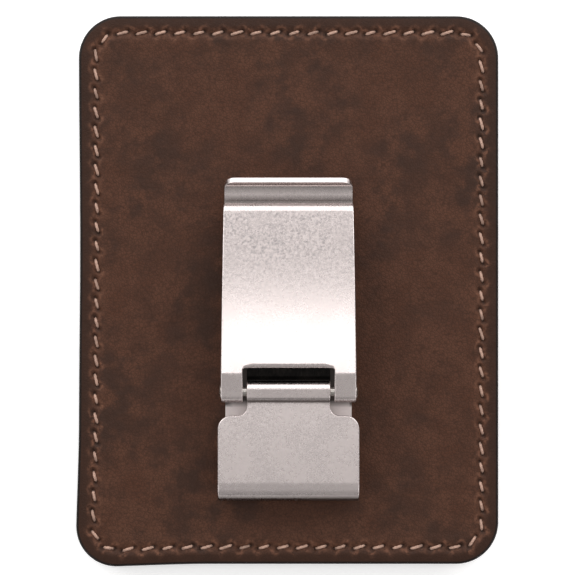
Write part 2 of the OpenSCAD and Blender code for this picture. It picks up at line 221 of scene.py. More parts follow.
def inside(points, ring):
    """Which points lie inside a closed ring."""
    found = np.zeros(len(points), bool)
    for (x0, y0), (x1, y1) in zip(ring, np.roll(ring, -1, axis=0)):
        crosses = (y0 > points[:, 1]) != (y1 > points[:, 1])
        if y0 != y1:
            found ^= crosses & (points[:, 0] < x0 + (points[:, 1] - y0) * (x1 - x0) / (y1 - y0))
    return found


def distance_to(points, ring):
    """Distance from each point to a closed ring."""
    best = np.full(len(points), 1e9)
    for start, end in zip(ring, np.roll(ring, -1, axis=0)):
        step = end - start
        t = np.clip(((points - start) @ step) / max(step @ step, 1e-18), 0, 1)
        best = np.minimum(best, np.hypot(*(points - start - t[:, None] * step).T))
    return best


def nearest(x, y, points):
    """Distance from each place to the nearest of some points."""
    best = np.full(len(x), 1e9)
    for point in points:
        best = np.minimum(best, np.hypot(x - point[0], y - point[1]))
    return best


def keep_clear(points, rings, gap):
    """The points that are inside the first ring, outside the others, and clear of all by the gap."""
    points = points[inside(points, rings[0])]
    for hole in rings[1:]:
        points = points[~inside(points, hole)]
    for ring in rings:
        points = points[distance_to(points, ring) > gap]
    return points


def fill(rings, points):
    """Triangles that fill the rings, the first an outline and the others holes, through the points."""
    loops = []
    start = 0
    for ring in rings:
        loops += [(start + i, start + (i + 1) % len(ring)) for i in range(len(ring))]
        start += len(ring)
    everything = np.concatenate([*rings, points]) / MM
    result = delaunay_2d_cdt([Vector(p) for p in everything], loops, [], 2, 1e-6)
    places, triangles, origins = result[0], result[2], result[3]
    if len(places) != len(everything):
        raise RuntimeError(f"a filled face has {len(places) - len(everything)} points too many")
    return [[origins[corner][0] for corner in triangle] for triangle in triangles]


def skin(rings, levels, top_points, bottom_points):
    """A closed skin: the rings run up through levels of (inset, height, slope) and are filled at both ends.

    An inset and a height is one value, or one for each point of the rings.

    It returns the flat places, the heights, the slopes, the directions out of the edge, and the faces."""
    flat, height, slope, out, faces = [], [], [], [], []
    sides = [outward(ring) for ring in rings]
    total = sum(len(ring) for ring in rings)
    ends = []
    for inset, lift, tilt in levels:
        insets = np.split(np.broadcast_to(inset, total), np.cumsum([len(ring) for ring in rings])[:-1])
        moved = [ring - side[0] * (side[1] * far)[:, None] for ring, side, far in zip(rings, sides, insets)]
        flat += moved
        out += [side[0] for side in sides]
        height.append(np.broadcast_to(lift, total))
        slope.append(np.full(total, tilt))
        ends.append(moved)
    for level in range(len(levels) - 1):
        start = level * total
        for ring in rings:
            n = len(ring)
            for i in range(n):
                a, b = start + i, start + (i + 1) % n
                faces.append((a, b, b + total, a + total))
            start += n
    after = total * len(levels)
    for points, end, first in ((bottom_points, 0, 0), (top_points, -1, total * (len(levels) - 1))):
        triangles = fill(ends[end], points)
        for triangle in triangles:
            corners = [first + c if c < total else after + c - total for c in triangle]
            faces.append(tuple(corners if end else corners[::-1]))
        flat.append(points)
        out.append(np.zeros((len(points), 2)))
        height.append(np.full(len(points), np.max(levels[end][1])))
        slope.append(np.full(len(points), levels[end][2]))
        after += len(points)
    return np.concatenate(flat), np.concatenate(height), np.concatenate(slope), np.concatenate(out), faces


def edge_levels(low, high, low_round, high_round, steps):
    """Levels for an edge whose lower and upper corners are rounded by quarter circles."""
    levels = []
    for k in range(steps + 1):
        a = -math.pi / 2 + math.pi / 2 * k / steps
        levels.append((low_round * (1 - math.cos(a)), low + low_round * (1 + math.sin(a)), a))
    for k in range(steps + 1):
        a = math.pi / 2 * k / steps
        levels.append((high_round * (1 - math.cos(a)), high - high_round * (1 - math.sin(a)), a))
    return levels


class BendLine:
    """The middle line of a bent sheet, seen from the side: straight runs and round bends."""

    def __init__(self, start, heading, steps):
        """Each step is a straight run, then the radius of a bend and its turn to the left in degrees."""
        self.parts = []
        y, z = start
        s = 0.0
        a = math.radians(heading)
        for run, radius, degrees in steps:
            turn = math.radians(degrees)
            curl = math.copysign(1, turn) / radius if radius else 0.0
            for distance, curve in ((run, 0.0), (radius * abs(turn), curl)):
                if distance <= 0:
                    continue
                self.parts.append((s, distance, curve, y, z, a))
                y, z, a = self.along(self.parts[-1], distance)
                s += distance
        self.length = s
        self.end = (y, z, a)

    @staticmethod
    def along(part, u):
        """Place and heading at a distance u along one part."""
        _, _, curve, y, z, a = part
        if curve == 0:
            return y + u * np.cos(a), z + u * np.sin(a), a + 0 * u
        b = a + curve * u
        return y + (np.sin(b) - np.sin(a)) / curve, z - (np.cos(b) - np.cos(a)) / curve, b

    def at(self, s):
        """Height and depth of the places s along the line, and its heading there."""
        s = np.asarray(s, float)
        y, z, a = np.zeros_like(s), np.zeros_like(s), np.zeros_like(s)
        for i, part in enumerate(self.parts):
            here = s >= part[0] if i else np.full(s.shape, True)
            y[here], z[here], a[here] = self.along(part, s[here] - part[0])
        return y, z, a

    def rows(self, widest, degrees):
        """Places along the line, close enough for its bends."""
        rows = [0.0]
        for start, distance, curve, *_ in self.parts:
            turn = abs(curve) * distance
            count = max(1, math.ceil(distance / widest), math.ceil(turn / math.radians(degrees)))
            rows += [start + distance * (k + 1) / count for k in range(count)]
        return np.array(rows)


def flip_faces(faces):
    """The faces turned inside out."""
    return [tuple(reversed(face)) for face in faces]


def new_piece(name, places, faces, body, slot, replaced, finish, normals=None, measures=None):
    """Makes a mesh piece, gives it its finish, and lets it ride on a body in place of CAD nodes."""
    mesh = bpy.data.meshes.new(name)
    mesh.from_pydata([tuple(place) for place in places], [], faces)
    mesh.polygons.foreach_set("use_smooth", [True] * len(faces))
    mesh.materials.append(finish)
    for label, values in (measures or {}).items():
        mesh.attributes.new(label, "FLOAT", "POINT").data.foreach_set("value", values)
    if normals is not None:
        mesh.normals_split_custom_set_from_vertices([tuple(n) for n in normals])
    mesh.update()
    piece = bpy.data.objects.new(name, mesh)
    bpy.context.scene.collection.objects.link(piece)
    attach(piece, body)
    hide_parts(*replaced)
    return piece


def hole_ring(across, along, radius, count):
    """A clockwise ring for a round hole in a blank."""
    turns = np.linspace(0, 2 * math.pi, count, endpoint=False)
    return np.array([(across + radius * math.cos(a), along - radius * math.sin(a)) for a in turns])


def bent_sheet(line, outline, holes, thick, edge, worn=None):
    """A flat blank of sheet metal, cut to an outline (across, along), then bent along a line.

    worn(across, along) gives the rounding of the upper edge, where that varies."""
    spacing = 1.2 * MM
    half_w = 20 * MM
    rows = line.rows(spacing, degrees=6)
    ring = split_long(outline, spacing, rows)
    rings = [ring] + list(holes)
    across = np.arange(-half_w, half_w, spacing)
    grid = np.array([(x, s) for s in rows for x in across])
    points = keep_clear(grid, rings, edge + 0.3 * MM)
    upper = worn(*np.concatenate(rings).T) if worn else edge
    levels = edge_levels(-thick / 2, thick / 2, edge, upper, 4)
    top = points[worn(*points.T) < 1.01 * edge] if worn else points
    flat, lift, slope, out, faces = skin(rings, levels, top, points)
    y, z, a = line.at(flat[:, 1])
    up = np.stack([0 * a, -np.sin(a), np.cos(a)], axis=1)
    ahead = np.stack([0 * a, np.cos(a), np.sin(a)], axis=1)
    places = np.stack([flat[:, 0], y, z], axis=1) + up * lift[:, None]
    sideways = ahead * out[:, 1:] + np.outer(out[:, 0], [1, 0, 0])
    normals = sideways * np.cos(slope)[:, None] + up * np.sin(slope)[:, None]
    return places, normals, faces


def turned(profile, count):
    """A closed turned shape from a profile of (along, radius), whose ends are on the axis."""
    rings = profile[1:-1]
    places = [(profile[0][0], 0.0, 0.0)]
    for along, radius in rings:
        places += [(along, radius * math.cos(2 * math.pi * k / count),
                    radius * math.sin(2 * math.pi * k / count)) for k in range(count)]
    places.append((profile[-1][0], 0.0, 0.0))
    last = len(places) - 1
    faces = []
    for k in range(count):
        n = (k + 1) % count
        faces.append((0, 1 + n, 1 + k))
        for r in range(len(rings) - 1):
            a, b = 1 + r * count, 1 + (r + 1) * count
            faces.append((a + k, a + n, b + n, b + k))
        faces.append((last, 1 + (len(rings) - 1) * count + k, 1 + (len(rings) - 1) * count + n))
    return np.array(places), faces


def fillet(profile, radius, steps=3):
    """A profile whose inner corners are rounded by a radius."""
    out = [np.array(profile[0])]
    for before, here, after in zip(profile, profile[1:], profile[2:]):
        before, here, after = np.array(before), np.array(here), np.array(after)
        back, ahead = before - here, after - here
        reach = min(radius, 0.45 * np.hypot(*back), 0.45 * np.hypot(*ahead))
        start = here + back / np.hypot(*back) * reach
        end = here + ahead / np.hypot(*ahead) * reach
        for k in range(steps + 1):
            t = k / steps
            out.append((1 - t) ** 2 * start + 2 * t * (1 - t) * here + t * t * end)
    out.append(np.array(profile[-1]))
    return out


def together(parts):
    """Joins several (places, faces) into one."""
    places, faces, start = [], [], 0
    for some_places, some_faces in parts:
        places.append(np.asarray(some_places))
        faces += [tuple(start + corner for corner in face) for face in some_faces]
        start += len(some_places)
    return np.concatenate(places), faces


# ---- The case: leather layers and the seam round them ----

def case_distance(x, y, case):
    """Distance inward from the edge of the case."""
    qx = np.abs(x) - (HALF_W - case.corner_radius)
    qy = np.abs(y) - (HALF_L - case.corner_radius)
    beyond = np.hypot(np.maximum(qx, 0), np.maximum(qy, 0)) + np.minimum(np.maximum(qx, qy), 0)
    return case.corner_radius - beyond


def seam_line(case, inset, spacing):
    """Points of the closed line that runs round the case at an inset from its edge."""
    x, y = HALF_W - inset, HALF_L - inset
    radius = max(case.corner_radius - inset, 0.3 * MM)
    return rounded_outline([(-x, -y, radius), (x, -y, radius), (x, y, radius), (-x, y, radius)], spacing)


def seam_places(case, thread):
    """The middle of each stitch, as (x, y, heading), from the lower left corner round."""
    x, y = HALF_W - case.seam_inset, HALF_L - case.seam_inset
    radius = max(case.corner_radius - case.seam_inset, 1 * MM)
    arc = math.pi * radius / 2
    sides = [2 * (x - radius), arc, 2 * (y - radius), arc] * 2
    total = sum(sides)
    count = round(total / thread.pitch)
    line = BendLine((-x + radius, -y), 0, [(sides[i], radius, 90) for i in (0, 2, 0, 2)])
    return [tuple(float(v) for v in line.at((i + 0.5) * total / count)) for i in range(count)]


def stitch_ends(places, thread):
    """Where the thread of each stitch dives into the leather."""
    reach = thread.stitch / 2 - 0.2 * MM
    ends = []
    for x, y, heading in places:
        a = heading + thread.slant
        ends += [(x - reach * math.cos(a), y - reach * math.sin(a)),
                 (x + reach * math.cos(a), y + reach * math.sin(a))]
    return np.array(ends)


def seam_relief(x, y, case, ends):
    """How far the visible leather is pressed in along the seam and at the stitch holes."""
    inset = case_distance(x, y, case)
    across = (inset - case.seam_inset) / MM
    near = np.abs(across) < 1.3
    to_hole = nearest(x[near], y[near], ends)
    bridges = (ends[1::2] + np.roll(ends, -2, axis=0)[::2]) / 2
    to_bridge = nearest(x[near], y[near], bridges)
    hole_depth, hole_r = 0.42 * MM, 0.36 * MM
    bridge_rise, bridge_r = 0.12 * MM, 0.55 * MM
    hole = np.zeros(len(x))
    hole[near] = hole_depth * hump(to_hole, hole_r)
    hole[near] -= bridge_rise * hump(to_bridge, bridge_r) * (to_hole > 0.2 * MM)
    groove = case.seam_depth * hump(across, 0.55)
    puff = 0.07 * MM * hump(across - 1.25, 0.6) + 0.05 * MM * hump(across + 1.1, 0.5)
    rim_depth, rim_w = 0.16 * MM, 1.7 * MM
    rim = rim_depth * (1 - smooth_step(0, rim_w, inset)) ** 1.5
    return groove + hole - puff + rim


def seam_pull_and_hole_shade(x, y, case, ends):
    """Where the leather is lighter round the stitch holes (1), as stretched pull-up leather with a painted
    highlight on its raised ridges, and where painted shade darkens the holes (-1).
    """
    pull = np.zeros(len(x))
    near = np.abs(case_distance(x, y, case) - case.seam_inset) < 1.6 * MM
    near_x, near_y = x[near], y[near]
    to_hole = nearest(near_x, near_y, ends)
    uneven = 0.55 + 0.45 * np.sin(2.3 * near_x / MM + 1.1) * np.sin(1.7 * near_y / MM + 0.4)
    light_ring = hump(to_hole / MM - 0.78, 0.36) * uneven
    hole_shade = hump(to_hole, 0.33 * MM)
    pull[near] = light_ring - hole_shade
    return pull


def soft_waves(x, y, phase):
    """A slow unevenness of the leather, between about -1 and 1."""
    u, v = x / MM, y / MM
    return (np.sin(0.21 * u + 0.13 * v + phase) + np.sin(0.37 * v - 0.19 * u + 2.1 * phase)
            + np.sin(0.55 * u + 0.31 * v + 1.3 * phase) * 0.6) / 2.6


def settle(places, case):
    """Spreads the case a little at its softest corner and draws in the long side above it, as with use."""
    x, y = places[:, 0], places[:, 1]
    left = smooth_step(22 * MM, 0, x + HALF_W)
    corner = left * smooth_step(24 * MM, 0, y + HALF_L)
    waist = left * hump(y - 8 * MM, 20 * MM)
    drawn_in = 0.22 * MM
    moved = places.copy()
    moved[:, 0] += drawn_in * waist - case.settle * corner
    moved[:, 1] -= case.settle * corner
    return moved


def layer_grid():
    """A coarse grid of points over the whole case."""
    spacing = 1.1 * MM
    across = np.arange(-HALF_W - 0.2 * MM, HALF_W + 0.4 * MM, spacing)
    along = np.arange(-HALF_L - 0.9 * MM, HALF_L + spacing, spacing)
    return np.array([(x, y) for x in across for y in along])


def shown_grid(case, coarse, mouth_x):
    """The coarse grid with closer points along the seam, and at the mouth if the layer is a pocket."""
    band = 1.35 * MM
    away = np.abs(case_distance(*coarse.T, case) - case.seam_inset) > band + 0.35 * MM
    lines = [seam_line(case, case.seam_inset + a, 0.27 * MM) for a in np.linspace(-band, band, 12)]
    shown = np.concatenate([coarse[away], *lines])
    if mouth_x < HALF_W:
        rows = np.arange(-HALF_L, HALF_L, 0.7 * MM)
        mouth = np.array([(mouth_x - step * MM, y) for step in (0.9, 1.3, 1.7, 2.1) for y in rows])
        mouth = mouth[case_distance(*mouth.T, case) > 4.5 * MM]
        clear = (shown[:, 0] < mouth_x - 2.7 * MM) | (case_distance(*shown.T, case) < 4.3 * MM)
        shown = np.concatenate([shown[clear], mouth])
    return shown


def leather_layer(case, thread, low, high, facing, bow=None, press=None, bare=False):
    """One layer of the case between two corners, with its visible side up (facing 1) or down (-1).

    bow moves both sides, press is a further pressing in of the visible side; each takes x and y arrays."""
    mouth_corner = 0.4 * MM
    left = case.corner_radius if low.x <= -HALF_W else mouth_corner
    right = case.corner_radius if high.x >= HALF_W else mouth_corner
    ring = rounded_outline([(low.x, -HALF_L, left), (high.x, -HALF_L, right),
                            (high.x, HALF_L, right), (low.x, HALF_L, left)], 0.5 * MM)
    thick = high.z - low.z
    hidden_round, pocket_round = 0.14 * MM, 0.26 * MM
    soft = case.edge_round if facing > 0 and not bare else pocket_round
    levels = edge_levels(0, thick, hidden_round, soft, 2 if bare else 4)
    coarse = layer_grid()
    shown = coarse if bare else shown_grid(case, coarse, high.x)
    out, mitre = outward(ring)
    shown = keep_clear(shown, [ring - out * (mitre * soft)[:, None]], 0.16 * MM)
    hidden = keep_clear(coarse, [ring], 0.7 * MM)
    flat, lift, _, _, faces = skin([ring], levels, shown, hidden)
    x, y = flat[:, 0], flat[:, 1]
    face_share = smooth_step(0.0, thick, lift)
    on_face = face_share > 0.999
    if press is not None:
        lift = lift - face_share * press(x, y)
    if bow is not None:
        lift = lift + bow(x, y)
    z = low.z + lift if facing > 0 else high.z - lift
    places = settle(np.stack([x, y, z], axis=1), case)
    inset = np.where(on_face, np.minimum(case_distance(x, y, case), high.x - x), 0.0)
    pull = seam_pull_and_hole_shade(x, y, case, stitch_ends(seam_places(case, thread), thread)) * on_face
    return places, faces if facing > 0 else flip_faces(faces), {"edge_inset": inset / MM, "pull": pull}


def thread_stitch(thread, x, y, z, heading, facing, rng):
    """One twisted stitch: it comes up out of its hole, lies on the leather, and goes down again.

    It returns the places, the faces, and how deep each place is tucked into its hole (0 to 1)."""
    radius = thread.thickness / 2
    bend, dive, tail = 0.75 * MM, 58, 0.5 * MM
    flat_run = 0.4 * MM * (1 + rng.uniform(-0.8, 0.7))
    path = [(tail, bend, -dive), (flat_run, bend, -dive), (tail, 0, 0)]
    first = BendLine((0, 0), dive, path)
    middle_u, middle_w, _ = first.at(first.length / 2)
    line = BendLine((-float(middle_u), -float(middle_w)), dive, path)
    rows = np.linspace(0, line.length, 27)
    count = 4 * thread.plies
    round_angle = np.arange(count) * 2 * math.pi / count
    phase = rng.uniform(0, 2 * math.pi)
    twist = 2 * math.pi / (2.1 * MM)
    core, lobe_rise, flattened = 0.74, 0.24, 1.06
    places = []
    for row, along, rise, slope in zip(rows, *line.at(rows)):
        lobe = np.abs(np.cos(thread.plies / 2 * (round_angle + twist * row + phase)))
        size = radius * (core + lobe_rise * lobe)
        lift, across = size * np.cos(round_angle), flattened * size * np.sin(round_angle)
        places += list(zip(along - lift * math.sin(slope), across, rise + lift * math.cos(slope)))
    faces = [(r * count + k, r * count + (k + 1) % count, (r + 1) * count + (k + 1) % count,
              (r + 1) * count + k) for r in range(len(rows) - 1) for k in range(count)]
    faces += [tuple(range(count))[::-1], tuple((len(rows) - 1) * count + k for k in range(count))]
    places = np.array(places)
    turn = heading + thread.slant + rng.uniform(-0.04, 0.04)
    px = x + places[:, 0] * math.cos(turn) - places[:, 1] * math.sin(turn)
    py = y + places[:, 0] * math.sin(turn) + places[:, 1] * math.cos(turn)
    pz = z + facing * (places[:, 2] + rng.uniform(-0.08, 0.03) * MM)
    # How deep each place dives into its hole, which the thread's finish uses as painted shade.
    tucked = smooth_step(-0.02 * MM, -0.3 * MM, places[:, 2])
    return np.stack([px, py, pz], axis=1), flip_faces(faces) if facing > 0 else faces, tucked


# ---- The clip: sheet metal paths and outlines ----

def bracket_line(clip):
    """Middle of the bracket's sheet: base plate, round bend, top plate, and the curl round the pin."""
    half = clip.sheet / 2
    throat = (HINGE.z - (LEATHER_Z + clip.sheet) - knuckle_radius(clip)) / 2
    bend_y = BRACKET_LOW.y + throat + clip.sheet
    return BendLine((BRACKET_TOP.y, LEATHER_Z + half), 180,
                    [(BRACKET_TOP.y - bend_y, throat + half, -180),
                     (HINGE.y - bend_y, knuckle_radius(clip) - half, KNUCKLE_CURL)])


def knuckle_radius(clip):
    """Outer radius of the knuckle that is curled round the pin."""
    return KNUCKLE_BORE + clip.sheet


def bracket_outline(clip, line):
    """The bracket's blank: a base with round corners, shoulders, and a neck that curls into the knuckle."""
    wide = BRACKET_TOP.x
    neck = clip.knuckle_w / 2
    plate = line.parts[BASE_PLATE][1]
    shoulder = line.parts[TOP_PLATE][0] + line.parts[TOP_PLATE][1] - 4 * MM
    right = [(BASE_HALF_W, 0, 2.5 * MM), (BASE_HALF_W, plate - 0.4 * MM, 0.5 * MM),
             (wide, plate + 0.2 * MM, 0.5 * MM), (wide, shoulder, 2.2 * MM), (neck, shoulder, 1.6 * MM),
             (neck, line.length, 0.25 * MM)]
    left = [(-x, s, r) for x, s, r in reversed(right)]
    return rounded_outline(right + left, 1.2 * MM)


def arm_line(clip):
    """Middle of the arm's sheet: the curl round the pin, the ears, the arch, the nose and the lip."""
    half = clip.sheet / 2
    curl = PIN_RADIUS + half
    arch = ARCH_LENGTH / math.radians(ARCH_TURN) + half
    lowest = ARM_LOW.z + half

    def shape(drop):
        return BendLine((HINGE.y + curl, HINGE.z), 270,
                        [(0, curl, -258), (3.1 * MM, 1 * MM + half, -16), (0.4 * MM, arch, -ARCH_TURN),
                         (0.4 * MM, 0.8 * MM + half, -76), (drop, 0.4 * MM + half, 98),
                         (2.2 * MM, 0.8 * MM + half, 55), (0.5 * MM, 0, 0)])

    drop = 1 * MM
    first = shape(drop)
    _, heights, _ = first.at(np.linspace(0, first.length, 4000))
    return shape(drop + heights[2000:].min() - lowest)


def window_edge(clip, line):
    """Half the width of the window over the knuckle, and how far along the arm's sheet it reaches."""
    s = np.linspace(line.parts[EAR_CURL][1], line.length, 3000)
    reach = float(s[np.searchsorted(line.at(s)[0], HINGE.y + WINDOW_REACH)])
    return clip.knuckle_w / 2 + clip.knuckle_gap, reach


def arm_outline(clip, line):
    """The arm's blank: two ears, a plate that narrows to the nose, and a lip with round corners."""
    ear = ARM_TOP.x
    nose = clip.nose_w / 2
    window, window_s = window_edge(clip, line)
    right = [(ear, 0, 0.25 * MM), (ear, window_s, 0), (nose, line.length, 1.7 * MM)]
    left = [(-x, s, r) for x, s, r in reversed(right)]
    notch = [(-window, 0, 0.25 * MM), (-window, window_s, 0.3 * MM), (window, window_s, 0.3 * MM),
             (window, 0, 0.25 * MM)]
    return rounded_outline(right + left + notch, 1.2 * MM)


def spring_line(clip, arm):
    """Middle of the leaf spring: its tail on the knuckle's flat, a bend, and a run along the plate."""
    half = clip.spring_sheet / 2
    _, _, arch_curve, y, z, a = arm.parts[ARCH]
    under = clip.sheet / 2 + half
    y, z = y + math.sin(a) * under, z - math.cos(a) * under
    tail_y = HINGE.y + TAIL_R + half
    fall = -a
    bend = 0.5 * MM + half
    corner_z = z + (y - tail_y) * math.tan(fall)
    tangent = bend * math.tan((math.pi / 2 + fall) / 2)
    tail_z = HINGE.z - 1.1 * MM
    return BendLine((tail_y, tail_z), 90,
                    [(corner_z - tangent - tail_z, bend, -math.degrees(math.pi / 2 + fall)),
                     ((y - tail_y) / math.cos(fall) - tangent, 1 / abs(arch_curve) - under,
                      -ARCH_TURN * SPRING_SHARE)])


def bend_painted_shade(line, places, bends):
    """How much painted shade darkens each place, in the hollows of some bends."""
    painted_shade = np.zeros(len(places))
    for bend, amount in bends.items():
        _, _, curve, y, z, a = line.parts[bend]
        centre = np.array([y - math.sin(a) / curve, z + math.cos(a) / curve])
        away = places[:, 1:] - centre
        inner = 1 / abs(curve) - 0.5 * MM
        near = np.hypot(away[:, 0], away[:, 1]) / inner
        painted_shade = np.maximum(painted_shade, amount * (1 - smooth_step(1.02, 1.35, near)))
    return painted_shade


def knuckle_flats(places, normals):
    """Presses the two flats that the leaf spring lies on into the curl round the pin."""
    away = places[:, 1:] - np.array([HINGE.y, HINGE.z])
    curl = np.hypot(away[:, 0], away[:, 1]) < 2.2 * MM
    for angle in (0, OPEN_ANGLE):
        side = np.array([math.cos(angle), math.sin(angle)])
        over = np.where(curl, away @ side - FLAT_R, 0)
        pressed = over > 0
        places[pressed, 1:] -= over[pressed, None] * side
        flat_normal = (normals[:, 1:] @ side > 0.8) & pressed
        normals[flat_normal] = [0, *side]
    return places, normals


# ---- Finishes ----

class Finish:
    """A material under construction: adds shader nodes and links them."""

    def __init__(self, name):
        self.material = bpy.data.materials.new(name)
        self.material.use_nodes = True
        self.tree = self.material.node_tree
        self.surface = self.tree.nodes["Principled BSDF"]
        coords = self.add("ShaderNodeTexCoord")
        self.mm = self.add("ShaderNodeVectorMath", operation="SCALE")
        self.link(coords.outputs["Object"], self.mm.inputs[0])
        self.mm.inputs["Scale"].default_value = 1 / MM
        self.place = self.mm.outputs["Vector"]

    def add(self, kind, **settings):
        """Adds a shader node with its settings."""
        node = self.tree.nodes.new(kind)
        for label, value in settings.items():
            setattr(node, label, value)
        return node

    def link(self, source, target):
        """Joins an output to an input."""
        self.tree.links.new(source, target)

    def put(self, target, value):
        """Links an output to an input, or sets the input to a plain value."""
        if isinstance(value, bpy.types.NodeSocket):
            self.link(value, target)
        else:
            target.default_value = value

    def noise(self, scale, detail=3.0, roughness=0.5, place=None):
        """A noise between 0 and 1 with scale features to a millimetre."""
        node = self.add("ShaderNodeTexNoise")
        self.link(place or self.place, node.inputs["Vector"])
        node.inputs["Scale"].default_value = scale
        node.inputs["Detail"].default_value = detail
        node.inputs["Roughness"].default_value = roughness
        return node.outputs["Fac"]

    def cells(self, scale):
        """Distance to the nearest border between cells, with scale cells to a millimetre."""
        node = self.add("ShaderNodeTexVoronoi", feature="DISTANCE_TO_EDGE")
        self.link(self.place, node.inputs["Vector"])
        node.inputs["Scale"].default_value = scale
        return node.outputs["Distance"]

    def stretched(self, x, y, z):
        """The place in millimetres, scaled along each axis."""
        node = self.add("ShaderNodeVectorMath", operation="MULTIPLY")
        self.link(self.place, node.inputs[0])
        node.inputs[1].default_value = (x, y, z)
        return node.outputs["Vector"]

    def ramp(self, value, low, high, to_low=0.0, to_high=1.0):
        """A smooth step from to_low to to_high as the value goes from low to high."""
        node = self.add("ShaderNodeMapRange", interpolation_type="SMOOTHSTEP")
        self.put(node.inputs["Value"], value)
        node.inputs["From Min"].default_value = low
        node.inputs["From Max"].default_value = high
        node.inputs["To Min"].default_value = to_low
        node.inputs["To Max"].default_value = to_high
        return node.outputs["Result"]

    def sum(self, first, second, operation="ADD"):
        """Two values added together."""
        node = self.add("ShaderNodeMath", operation=operation)
        self.put(node.inputs[0], first)
        self.put(node.inputs[1], second)
        return node.outputs["Value"]

    def product(self, first, second):
        """Two values multiplied together."""
        return self.sum(first, second, "MULTIPLY")

    def mix(self, amount, first, second):
        """The first colour with an amount (0 to 1) of the second mixed in."""
        node = self.add("ShaderNodeMix", data_type="RGBA")
        self.put(node.inputs[0], amount)
        self.put(node.inputs[6], (*first, 1) if isinstance(first, tuple) else first)
        self.put(node.inputs[7], (*second, 1) if isinstance(second, tuple) else second)
        return node.outputs[2]

    def measure(self, label):
        """A measure that the mesh holds at each of its points."""
        return self.add("ShaderNodeAttribute", attribute_name=label).outputs["Fac"]

    def bumps(self, *layers):
        """Bump from layers of (height, depth in metres), the finest last."""
        normal = None
        for height, depth in layers:
            node = self.add("ShaderNodeBump")
            self.put(node.inputs["Height"], height)
            node.inputs["Distance"].default_value = depth
            if normal is not None:
                self.link(normal, node.inputs["Normal"])
            normal = node.outputs["Normal"]
        self.link(normal, self.surface.inputs["Normal"])

    def set(self, **values):
        """Sets or links inputs of the shader, named with _ for a space."""
        for label, value in values.items():
            self.put(self.surface.inputs[label.replace("_", " ")], value)


def shade(base, factor, warm=1.0):
    """A colour made lighter or darker, and warmer or cooler."""
    red, green, blue = base
    return (red * factor * warm, green * factor, blue * factor / warm)


def finish_named(name, build, *args):
    """The material of that name, built the first time that it is asked for."""
    return bpy.data.materials.get(name) or build(name, *args)


def oiled_leather(name, base, edge_paint, coarse):
    """Oiled pull-up leather: cloudy colour, fine grain and pores, a darker rim, sealed edges, and painted
    light round the stitch holes.
    """
    f = Finish(name)
    clouds = f.noise(0.09, 3, 0.55)
    patches = f.noise(0.28, 4, 0.6)
    flecks = f.noise(1.7, 5, 0.65)
    body = f.mix(f.ramp(clouds, 0.35, 0.65), shade(base, 0.81, 0.9), shade(base, 1.16, 1.08))
    body = f.mix(f.ramp(patches, 0.40, 0.66), body, shade(base, 1.48, 1.02))
    body = f.mix(f.ramp(flecks, 0.45, 0.75, 0.0, 0.6), body, shade(base, 0.55))
    creases = f.cells(coarse)
    body = f.mix(f.ramp(creases, 0.0, 0.14, 0.5, 0.0), body, shade(base, 0.5))
    inset = f.measure("edge_inset")
    # Darker rim outside the seam: burnished leather, with painted shade where the edge curves down.
    body = f.mix(f.ramp(inset, 1.3, 2.9, 0.8, 0.0), body, shade(base, 0.5))
    body = f.mix(f.ramp(inset, 0.1, 0.6, 1.0, 0.0), body, edge_paint)
    # Round the stitch holes: lighter stretched leather that is partly a painted highlight, and painted
    # shade in the holes.
    pull = f.measure("pull")
    stretched = f.product(f.ramp(pull, 0.0, 1.0), f.ramp(flecks, 0.35, 0.6))
    body = f.mix(stretched, body, shade(base, 2.7, 0.96))
    body = f.mix(f.ramp(pull, -1.0, 0.0, 0.6, 0.0), body, edge_paint)
    f.set(Base_Color=body)
    rough = f.ramp(f.sum(patches, flecks), 0.7, 1.3, 0.44, 0.62)
    f.set(Roughness=f.sum(rough, f.ramp(inset, 0.1, 0.6, -0.2, 0.0)))
    f.surface.inputs["Specular IOR Level"].default_value = 0.16
    f.bumps((f.noise(0.5, 2, 0.5), 0.10 * MM), (f.ramp(creases, 0.0, 0.22), 0.022 * MM),
            (f.noise(5.0, 3, 0.6), 0.02 * MM))
    return f.material


def board_finish(name, edge_paint):
    """Pressed board: grey-brown fibres, sealed dark at the edge."""
    f = Finish(name)
    fibres = f.noise(1.6, 5, 0.7, f.stretched(1, 1, 6))
    f.set(Base_Color=f.mix(f.ramp(fibres, 0.3, 0.7), shade(edge_paint, 1.0), shade(edge_paint, 2.2)),
          Roughness=f.ramp(fibres, 0.3, 0.7, 0.45, 0.7))
    f.bumps((fibres, 0.05 * MM))
    return f.material


def waxed_thread(name, base):
    """Waxed thread: fine fibres along the strands, random stains, and painted shade where it dives into its
    holes.
    """
    f = Finish(name)
    fibres = f.noise(6.0, 4, 0.65)
    stain = f.noise(0.35, 3, 0.6)
    body = f.mix(f.ramp(fibres, 0.3, 0.75), shade(base, 0.62), shade(base, 1.15))
    body = f.mix(f.ramp(stain, 0.42, 0.66, 0.0, 0.75), body, shade(base, 0.42))
    # Painted shade: the thread darkens where it is tucked into its holes.
    f.set(Base_Color=f.mix(f.measure("tucked"), body, shade(base, 0.12)),
          Roughness=f.ramp(fibres, 0.2, 0.8, 0.42, 0.62))
    f.surface.inputs["Specular IOR Level"].default_value = 0.4
    f.bumps((fibres, 0.03 * MM))
    return f.material


